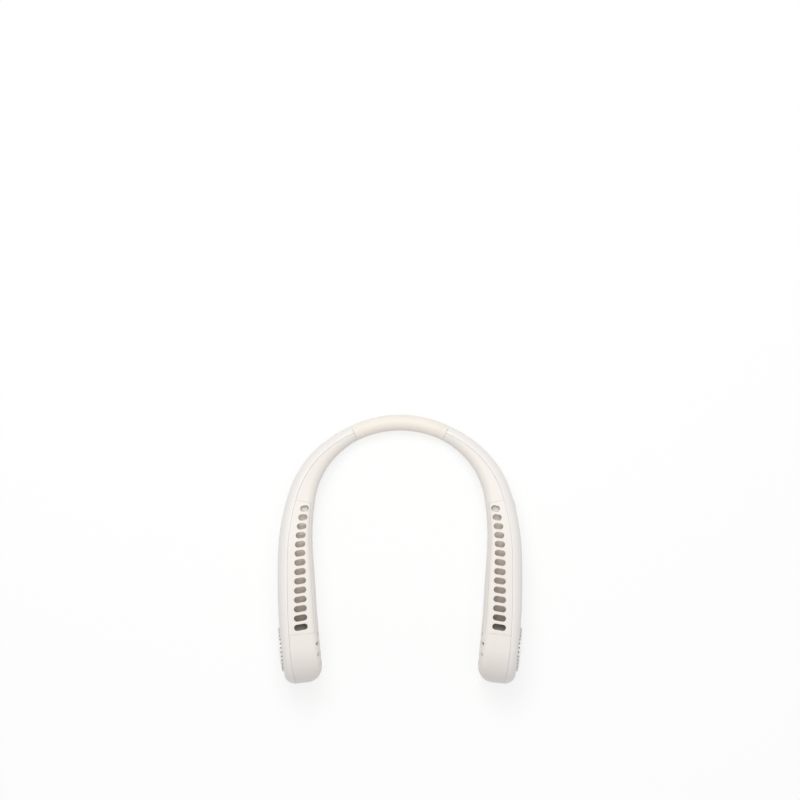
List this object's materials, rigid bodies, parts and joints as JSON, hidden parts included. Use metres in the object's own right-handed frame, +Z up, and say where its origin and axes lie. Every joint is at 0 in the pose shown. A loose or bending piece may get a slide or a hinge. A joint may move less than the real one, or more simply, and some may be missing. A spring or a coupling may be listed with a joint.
{
  "type": "neck fan",
  "caption": "Wearable neck fan: two hollow arms with top air vents and a fan at each end, joined by a soft flexible band behind the neck.",
  "frame": {"origin": "middle of the bounding box in plan, on the surface that the fan lies on", "axes": "+Z up through the vents, +Y to the back of the neck, +X to the arm with the charging socket"},
  "size_m": [0.189, 0.2086, 0.048],
  "materials": {
    "sleeve": "satin silicone",
    "core": "matt",
    "cable": "matt",
    "outer_white": "satin",
    "inner_white": "satin",
    "duct": "satin",
    "gloss_white": "gloss",
    "screw_steel": "plain",
    "impeller": "satin",
    "rotor_steel": "plated",
    "magnet": "matt",
    "shaft_steel": "ground",
    "board": "satin",
    "copper": "enamelled wire",
    "bronze": "sintered",
    "cell": "shrink sleeve",
    "foam": "foam",
    "lamp": "clear",
    "clear": "clear"
  },
  "bodies": {
    "band": {"band_sleeve": "sleeve", "band_core": "core", "link_cable": "cable"},
    "right_rotor": {"impeller_right": "impeller", "rotor_cup_right": "rotor_steel", "rotor_magnet_right": "magnet", "motor_shaft_right": "shaft_steel"},
    "right_arm": {"outer_shell_right": "outer_white", "inner_shell_right": "inner_white", "vent_strip_right": "inner_white", "air_duct_right": "duct", "band_anchor_right": "duct", "fan_cap_right": "gloss_white", "cap_screw_right": "screw_steel", "fan_housing_right": "duct", "housing_lid_right": "duct", "motor_base_right": "duct", "motor_screws_right": "screw_steel", "motor_board_right": "board", "stator_core_right": "rotor_steel", "stator_coils_right": "copper", "motor_bush_right": "bronze", "battery_cell_right": "cell", "battery_pads_right": "foam", "main_board": "board", "charging_socket": "screw_steel", "socket_tongue": "cable", "status_led": "lamp", "light_pipe": "clear", "tact_switch": "cable"},
    "left_rotor": {"impeller_left": "impeller", "rotor_cup_left": "rotor_steel", "rotor_magnet_left": "magnet", "motor_shaft_left": "shaft_steel"},
    "left_arm": {"outer_shell_left": "outer_white", "inner_shell_left": "inner_white", "vent_strip_left": "inner_white", "air_duct_left": "duct", "band_anchor_left": "duct", "fan_cap_left": "gloss_white", "cap_screw_left": "screw_steel", "fan_housing_left": "duct", "housing_lid_left": "duct", "motor_base_left": "duct", "motor_screws_left": "screw_steel", "motor_board_left": "board", "stator_core_left": "rotor_steel", "stator_coils_left": "copper", "motor_bush_left": "bronze", "battery_cell_left": "cell", "battery_pads_left": "foam"},
    "button": {"power_button": "gloss_white", "switch_plunger": "duct"}
  },
  "joints": [
    {"name": "right_band_flex", "type": "hinge", "parent": "band", "child": "right_arm", "pos_m": [0.01834, 0.09606, 0.0062], "axis": [0, 0, 1], "range_deg": [-6, 20], "stiffness_Nm_per_rad": 0.5, "deforming": ["band_sleeve", "band_core", "link_cable"]},
    {"name": "right_fan_spin", "type": "hinge", "parent": "right_arm", "child": "right_rotor", "pos_m": [0.07659, -0.07647, 0.024], "axis": [0.9947, -0.1026, 0], "continuous": true},
    {"name": "left_band_flex", "type": "hinge", "parent": "band", "child": "left_arm", "pos_m": [-0.01834, 0.09606, 0.0062], "axis": [0, 0, -1], "range_deg": [-6, 20], "stiffness_Nm_per_rad": 0.5, "deforming": ["band_sleeve", "band_core", "link_cable"]},
    {"name": "left_fan_spin", "type": "hinge", "parent": "left_arm", "child": "left_rotor", "pos_m": [-0.07659, -0.07647, 0.024], "axis": [-0.9947, -0.1026, 0], "continuous": true},
    {"name": "power_button_press", "type": "slide", "parent": "right_arm", "child": "button", "axis": [-0.9834, -0.1817, 0], "range_m": [0, 0.0005], "stiffness_N_per_m": 400}
  ]
}
